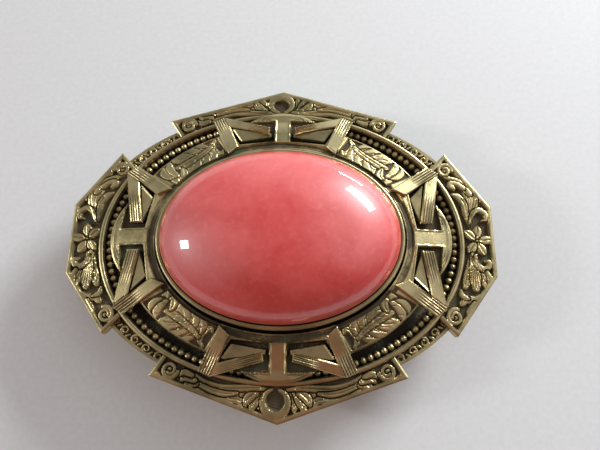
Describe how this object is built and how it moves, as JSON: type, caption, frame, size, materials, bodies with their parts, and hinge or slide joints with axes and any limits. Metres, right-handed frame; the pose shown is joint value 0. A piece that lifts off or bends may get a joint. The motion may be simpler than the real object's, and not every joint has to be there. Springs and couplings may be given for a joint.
{
  "type": "brooch",
  "caption": "Oval stamped brass brooch with four pointed wings, a beaded rim, strapwork, a domed coral cabochon and a hinged pin with a roll-over catch.",
  "frame": {"origin": "on the surface the pin fittings touch, under the middle of the brooch's outline", "axes": "+X along the long axis, from the hinge to the catch; +Y towards the top when worn; +Z out of the front"},
  "size_m": [0.0564, 0.045, 0.0165],
  "materials": {
    "antiqued_brass": "stamped, dark patina in the recesses, rubbed high points",
    "polished_brass": "rubbed bright with fine scratches",
    "plain_brass": "plain rolled sheet, lightly tarnished",
    "pin_steel": "drawn wire, plated",
    "coral_glass": "opaque mottled coral glass, fire-polished, with a few small pits"
  },
  "bodies": {
    "brooch": {"back_plate": "plain_brass", "outer_frame": "antiqued_brass", "rail_wire": "polished_brass", "beaded_wire": "antiqued_brass", "inner_frame": "antiqued_brass", "setting_cup": "polished_brass", "cabochon": "coral_glass", "side_ribbon_upper_right": "polished_brass", "side_ribbon_upper_left": "polished_brass", "side_ribbon_lower_left": "polished_brass", "side_ribbon_lower_right": "polished_brass", "tall_ribbon_upper_right": "polished_brass", "tall_ribbon_upper_left": "polished_brass", "tall_ribbon_lower_left": "polished_brass", "tall_ribbon_lower_right": "polished_brass", "hinge_base": "plain_brass", "hinge_rivet": "pin_steel", "catch_base": "plain_brass"},
    "pin": {"pin_stem": "pin_steel"},
    "collar": {"catch_collar": "plain_brass"}
  },
  "joints": [
    {"name": "pin_swing", "type": "hinge", "parent": "brooch", "child": "pin", "pos_m": [-0.0185, 0.0059, 0.0012], "axis": [0, 1, 0], "range_deg": [0, 110]},
    {"name": "collar_turn", "type": "hinge", "parent": "brooch", "child": "collar", "pos_m": [0.0185, 0.0059, 0.0012], "axis": [1, 0, 0], "range_deg": [0, 110]}
  ]
}
